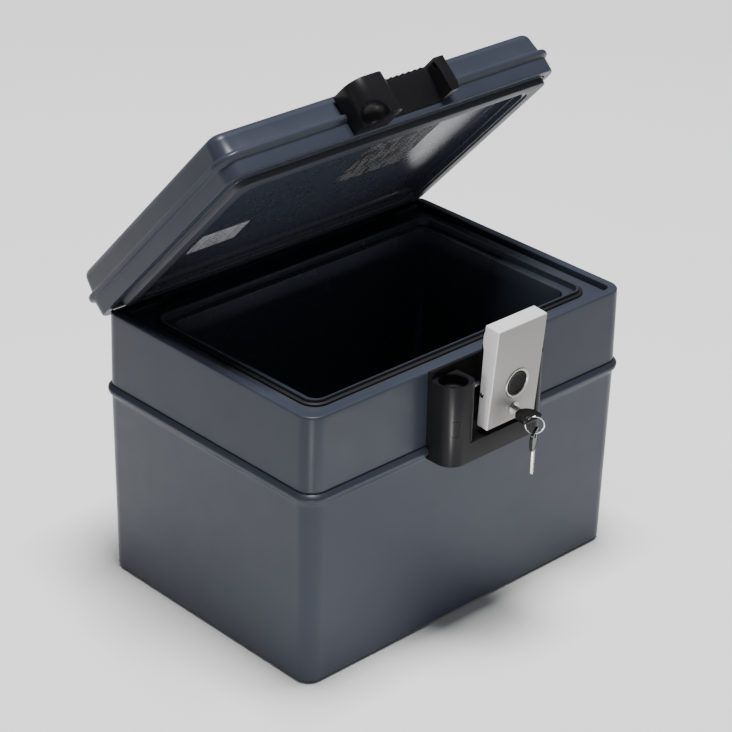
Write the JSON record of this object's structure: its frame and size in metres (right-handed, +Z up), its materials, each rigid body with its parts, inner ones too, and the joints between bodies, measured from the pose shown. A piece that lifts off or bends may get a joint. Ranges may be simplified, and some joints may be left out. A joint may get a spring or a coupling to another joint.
{
  "type": "fireproof document box",
  "caption": "Fire resistant document box with an insulated shell, hinged lid propped open, and a front latch with fingerprint window, key lock and spare key.",
  "frame": {"origin": "centre of the base, on the floor plane the box stands on", "axes": "X to the right seen from the front, along the hinge line and the long side; Y from the latch side (front, negative) to the hinge side (back, positive); Z up"},
  "size_m": [0.44, 0.4187, 0.5564],
  "materials": {
    "shell_plastic": "satin",
    "liner_plastic": "gloss",
    "mineral_fill": "rough",
    "seal_rubber": "matte",
    "black_plastic": "satin",
    "bright_steel": "brushed",
    "bright_chrome": "polished",
    "key_steel": "satin",
    "cover_aluminium": "brushed",
    "label_paper": "matte",
    "board_green": "gloss",
    "cell_wrap": "satin",
    "window_black": "gloss"
  },
  "bodies": {
    "box": {"body_shell": "shell_plastic", "body_insulation": "mineral_fill", "inner_liner": "liner_plastic", "rim_gasket": "seal_rubber", "hinge_blocks": "black_plastic", "hinge_pins": "bright_steel", "latch_bracket": "black_plastic", "bracket_screws": "bright_steel", "latch_pivot_pin": "bright_steel"},
    "lid": {"lid_shell": "shell_plastic", "lid_insulation": "mineral_fill", "lid_liner": "liner_plastic", "hinge_lugs": "black_plastic", "lid_latch_housing": "black_plastic", "housing_screws": "bright_steel", "lid_label_small": "label_paper", "lid_label_large": "label_paper"},
    "latch": {"latch_cover": "cover_aluminium", "latch_carrier": "black_plastic", "cover_screws": "bright_steel", "control_board": "board_green", "battery_pack": "cell_wrap", "lock_motor": "bright_steel", "sensor_bezel": "bright_chrome", "sensor_window": "window_black", "cylinder_barrel": "bright_chrome"},
    "key": {"key_plug": "bright_chrome", "lock_cam": "bright_steel", "key_blade": "key_steel", "key_head": "black_plastic"},
    "bolt": {"lock_bolt": "bright_steel"},
    "ring": {"key_ring": "bright_chrome"},
    "spare": {"spare_key_blade": "key_steel", "spare_key_head": "black_plastic"}
  },
  "joints": [
    {"name": "lid_hinge", "type": "hinge", "parent": "box", "child": "lid", "pos_m": [0, 0.1377, 0.2754], "axis": [-1, 0, 0], "range_deg": [-46.9, 43.1]},
    {"name": "latch_pivot", "type": "hinge", "parent": "box", "child": "latch", "pos_m": [0, -0.172, 0.274], "axis": [1, 0, 0], "range_deg": [-5.1, 16]},
    {"name": "key_turn", "type": "hinge", "parent": "latch", "child": "key", "pos_m": [0.017, -0.18932, 0.24304], "axis": [0, 0.996, 0.0889], "range_deg": [0, 90]},
    {"name": "bolt_slide", "type": "slide", "parent": "latch", "child": "bolt", "axis": [1, 0, 0], "range_m": [0, 0.0081]},
    {"name": "ring_swing", "type": "hinge", "parent": "key", "child": "ring", "pos_m": [0.0187, -0.21658, 0.24061], "axis": [0.7193, -0.6947, 0], "range_deg": [-15, 10]},
    {"name": "spare_swing", "type": "hinge", "parent": "ring", "child": "spare", "pos_m": [0.0187, -0.21658, 0.22526], "axis": [0.7193, -0.6947, 0], "range_deg": [-20, 5]}
  ],
  "couplings": [
    {"joint": "bolt_slide", "follows": "key_turn", "m_per_rad": 0.005093}
  ]
}
